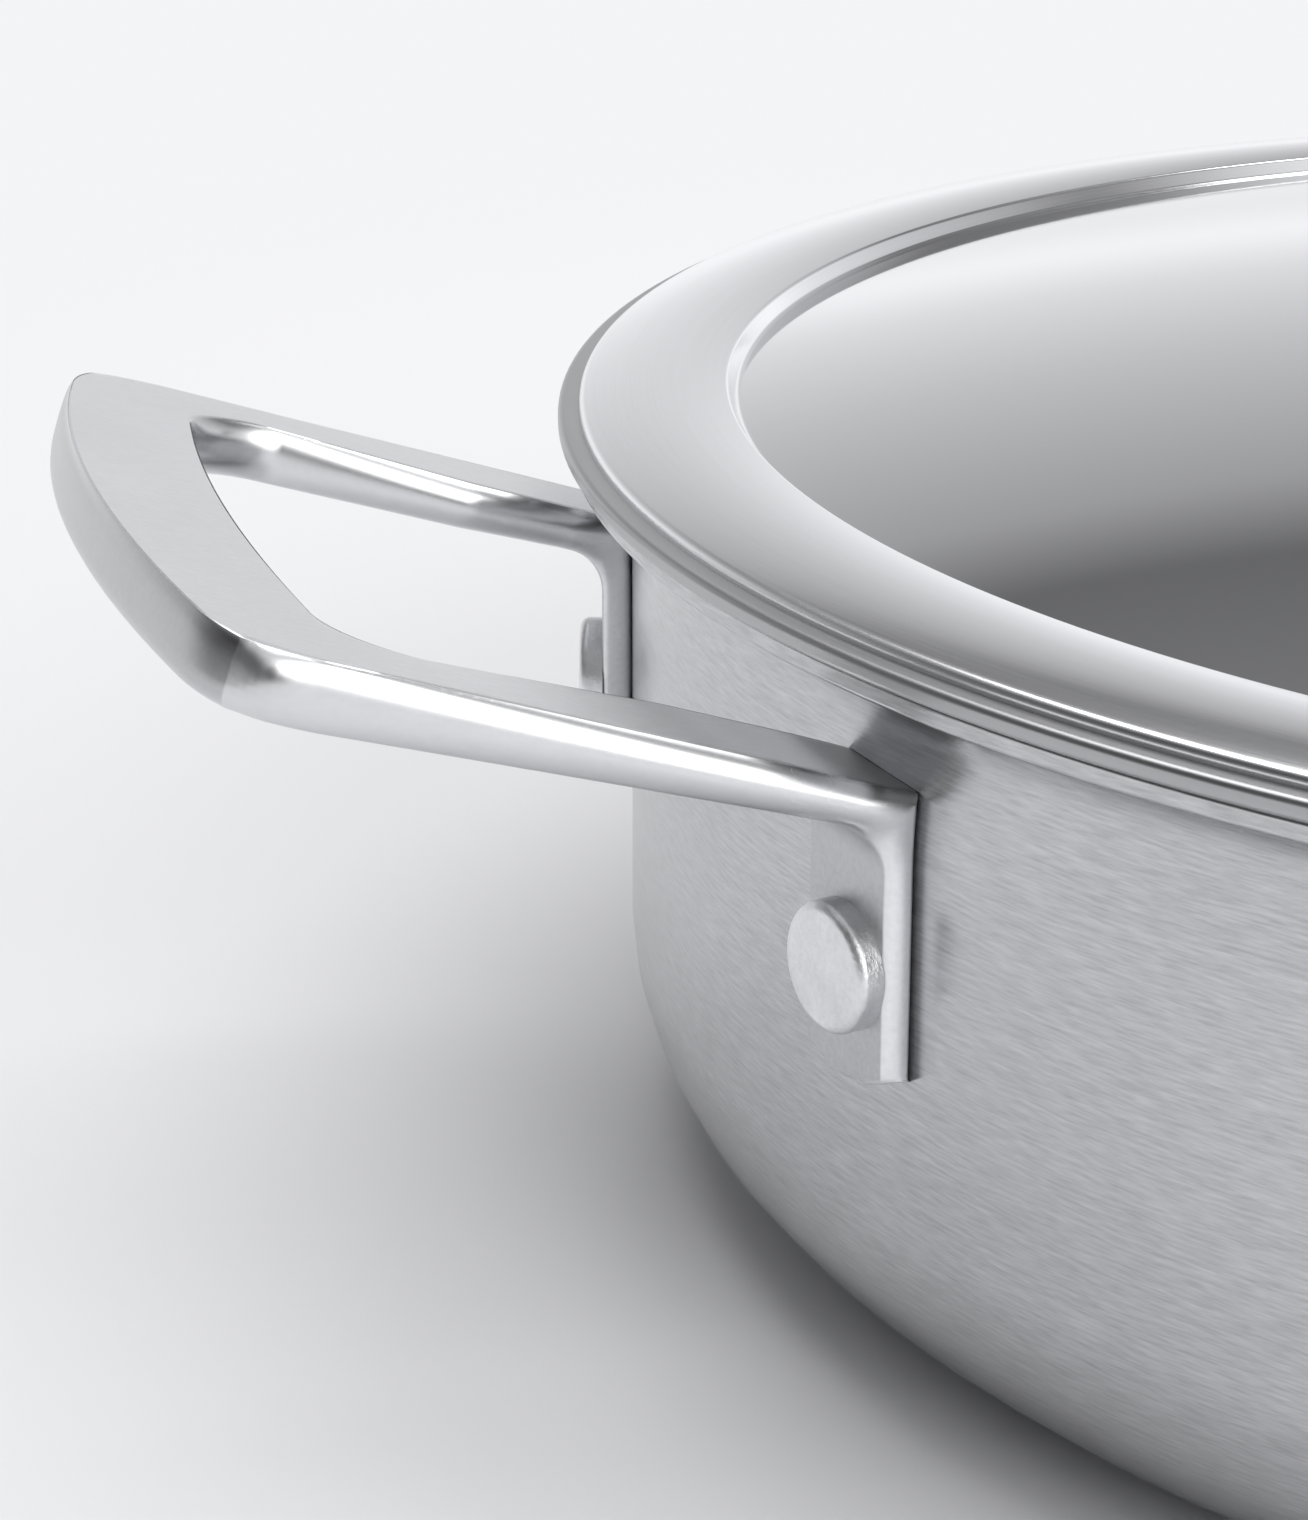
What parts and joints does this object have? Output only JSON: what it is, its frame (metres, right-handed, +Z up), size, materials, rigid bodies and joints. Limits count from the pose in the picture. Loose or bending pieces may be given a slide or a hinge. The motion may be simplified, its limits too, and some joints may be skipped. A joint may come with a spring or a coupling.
{
  "type": "braiser",
  "caption": "Shallow round lidded braising pan in brushed stainless steel, with riveted cast loop handles at the sides and a lift-off domed lid.",
  "frame": {"origin": "centre of the pan's flat base, on the surface that the pan stands on", "axes": "+Z up along the pan's axis; the two side handles stand out along -X and +X; the front rivets are at -Y"},
  "size_m": [0.4226, 0.3166, 0.136],
  "materials": {
    "brushed_pan_steel": "circumferentially brushed stainless steel",
    "satin_cast_steel": "satin cast stainless steel with fine brushing on the flat top faces",
    "lid_steel": "mirror-polished dome inside a circumferentially brushed outer band",
    "lid_ring_steel": "brushed stainless steel",
    "blasted_rivet_steel": "bead-blasted stainless steel"
  },
  "bodies": {
    "pan": {"pan_body": "brushed_pan_steel", "left_handle": "satin_cast_steel", "right_handle": "satin_cast_steel", "left_front_rivet": "blasted_rivet_steel", "left_rear_rivet": "blasted_rivet_steel", "right_front_rivet": "blasted_rivet_steel", "right_rear_rivet": "blasted_rivet_steel"},
    "lid": {"lid_cover": "lid_steel", "lid_ring": "lid_ring_steel", "lid_handle": "satin_cast_steel", "lid_left_rivet": "blasted_rivet_steel", "lid_right_rivet": "blasted_rivet_steel"}
  },
  "joints": [
    {"name": "lid_lift", "type": "slide", "parent": "pan", "child": "lid", "axis": [0, 0, 1], "range_m": [0, 0.12]}
  ]
}
